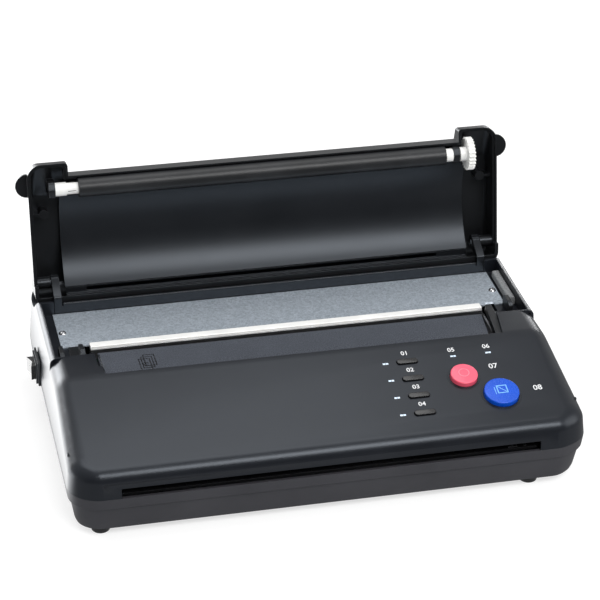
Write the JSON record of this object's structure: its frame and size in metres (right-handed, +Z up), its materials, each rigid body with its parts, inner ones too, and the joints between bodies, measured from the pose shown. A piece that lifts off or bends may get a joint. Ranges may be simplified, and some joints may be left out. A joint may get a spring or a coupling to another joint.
{
  "type": "thermal stencil copier",
  "caption": "Desk-top thermal stencil copier with its long cover open: platen roller inside the cover, print strip in the body, sloping key panel in front.",
  "frame": {"origin": "middle of the footprint box on the table, with the cover open", "axes": "+X along the width to the right as seen from the key panel, +Y to the rear, +Z up"},
  "size_m": [0.4193, 0.2733, 0.1914],
  "materials": {
    "black_shell": "satin moulded plastic",
    "black_liner": "smooth satin sheet",
    "black_rubber": "ground rubber",
    "zinc_steel": "galvanised",
    "black_fitting": "moulded plastic",
    "bright_steel": "plated",
    "frame_steel": "plated sheet",
    "white_ceramic": "glazed strip",
    "sink_aluminium": "extruded",
    "smoked_sheet": "smoked satin sheet",
    "grey_foam": "foam strip",
    "white_plastic": "white moulded plastic",
    "black_wheel": "black moulded plastic",
    "brass_wheel": "turned",
    "sensor_glass": "clear",
    "green_board": "circuit board",
    "switch_black": "moulded plastic",
    "window_light": "pale translucent window",
    "gloss_black": "polished plastic",
    "key_black": "satin plastic",
    "key_red": "glossy plastic",
    "key_blue": "glossy plastic"
  },
  "bodies": {
    "root": {"base_tray": "black_shell", "upper_housing": "black_shell", "rubber_feet": "black_rubber", "base_screws": "zinc_steel", "hinge_rail": "black_fitting", "hinge_pins": "zinc_steel", "head_plate": "zinc_steel", "plate_screws": "bright_steel", "thermal_head": "white_ceramic", "head_heat_sink": "sink_aluminium", "head_beam": "frame_steel", "head_leaf_springs": "frame_steel", "entry_guide": "smoked_sheet", "latch_hook_left": "black_fitting", "latch_hook_right": "black_fitting", "edge_clip_left": "black_fitting", "edge_clip_right": "black_fitting", "rest_pad": "grey_foam", "side_frame_left": "frame_steel", "side_frame_right": "frame_steel", "drive_motor": "black_fitting", "gear_studs": "bright_steel", "scan_sensor": "black_fitting", "scan_glass": "sensor_glass", "scan_bushes": "white_plastic", "paper_table": "black_fitting", "flag_pin": "bright_steel", "main_board": "green_board", "power_supply": "green_board", "control_board": "green_board", "key_switches": "switch_black", "indicator_windows": "window_light", "switch_frame": "black_fitting", "power_inlet": "black_fitting"},
    "cover": {"cover_shell": "black_shell", "cover_liner": "black_liner", "cover_rail": "black_fitting", "platen_bracket_left": "black_fitting", "platen_bracket_right": "black_fitting", "platen_bushes": "white_plastic"},
    "platen": {"platen_rubber": "black_rubber", "platen_shaft": "bright_steel", "platen_gear": "white_plastic"},
    "drive_wheel": {"drive_gear": "black_wheel"},
    "idler_wheel_1": {"idler_gear_1": "black_wheel"},
    "idler_wheel_2": {"idler_gear_2": "black_wheel"},
    "idler_wheel_3": {"idler_gear_3": "black_wheel"},
    "motor_wheel": {"motor_pinion": "brass_wheel"},
    "scan_feed": {"scan_roller": "black_rubber", "scan_shaft": "bright_steel", "scan_gear": "black_wheel"},
    "key_1": {"small_key_1": "key_black"},
    "key_2": {"small_key_2": "key_black"},
    "key_3": {"small_key_3": "key_black"},
    "key_4": {"small_key_4": "key_black"},
    "stop": {"stop_key": "key_red"},
    "copy": {"copy_key": "key_blue"},
    "rocker": {"power_rocker": "gloss_black"},
    "flag": {"paper_flag": "black_fitting"}
  },
  "joints": [
    {"name": "cover_hinge", "type": "hinge", "parent": "root", "child": "cover", "pos_m": [0, 0.10586, 0.09], "axis": [1, 0, 0], "range_deg": [0, 102]},
    {"name": "platen_spin", "type": "hinge", "parent": "cover", "child": "platen", "pos_m": [0, 0.11479, 0.1705], "axis": [1, 0, 0], "continuous": true},
    {"name": "drive_spin", "type": "hinge", "parent": "root", "child": "drive_wheel", "pos_m": [0, 0.01376, 0.06208], "axis": [1, 0, 0], "continuous": true},
    {"name": "idler_1_spin", "type": "hinge", "parent": "root", "child": "idler_wheel_1", "pos_m": [0, 0.00814, 0.03772], "axis": [1, 0, 0], "continuous": true},
    {"name": "idler_2_spin", "type": "hinge", "parent": "root", "child": "idler_wheel_2", "pos_m": [0, -0.02175, 0.04037], "axis": [1, 0, 0], "continuous": true},
    {"name": "idler_3_spin", "type": "hinge", "parent": "root", "child": "idler_wheel_3", "pos_m": [0, -0.05163, 0.04302], "axis": [1, 0, 0], "continuous": true},
    {"name": "motor_spin", "type": "hinge", "parent": "root", "child": "motor_wheel", "pos_m": [0, 0.02811, 0.03123], "axis": [1, 0, 0], "continuous": true},
    {"name": "scan_spin", "type": "hinge", "parent": "root", "child": "scan_feed", "pos_m": [0, -0.07852, 0.0454], "axis": [1, 0, 0], "continuous": true},
    {"name": "key_1_push", "type": "slide", "parent": "root", "child": "key_1", "axis": [0, -0.2308, 0.973], "range_m": [-0.0008, 0], "stiffness_N_per_m": 900},
    {"name": "key_2_push", "type": "slide", "parent": "root", "child": "key_2", "axis": [0, -0.2308, 0.973], "range_m": [-0.0008, 0], "stiffness_N_per_m": 900},
    {"name": "key_3_push", "type": "slide", "parent": "root", "child": "key_3", "axis": [0, -0.2308, 0.973], "range_m": [-0.0008, 0], "stiffness_N_per_m": 900},
    {"name": "key_4_push", "type": "slide", "parent": "root", "child": "key_4", "axis": [0, -0.2308, 0.973], "range_m": [-0.0008, 0], "stiffness_N_per_m": 900},
    {"name": "stop_push", "type": "slide", "parent": "root", "child": "stop", "axis": [0, -0.2308, 0.973], "range_m": [-0.0015, 0], "stiffness_N_per_m": 900},
    {"name": "copy_push", "type": "slide", "parent": "root", "child": "copy", "axis": [0, -0.2308, 0.973], "range_m": [-0.0015, 0], "stiffness_N_per_m": 900},
    {"name": "rocker_tilt", "type": "hinge", "parent": "root", "child": "rocker", "pos_m": [-0.1991, 0.05626, 0.0403], "axis": [0, 0, 1], "range_deg": [-12, 0]},
    {"name": "flag_swing", "type": "hinge", "parent": "root", "child": "flag", "pos_m": [0.148, -0.11674, 0.053], "axis": [1, 0, 0], "range_deg": [0, 40], "stiffness_Nm_per_rad": 0.002}
  ],
  "couplings": [
    {"joint": "drive_spin", "follows": "platen_spin", "ratio": -1.3},
    {"joint": "idler_1_spin", "follows": "platen_spin", "ratio": 0.86667},
    {"joint": "idler_2_spin", "follows": "platen_spin", "ratio": -0.86667},
    {"joint": "idler_3_spin", "follows": "platen_spin", "ratio": 0.86667},
    {"joint": "motor_spin", "follows": "platen_spin", "ratio": -2.1667},
    {"joint": "scan_spin", "follows": "platen_spin", "ratio": -1.0833}
  ]
}
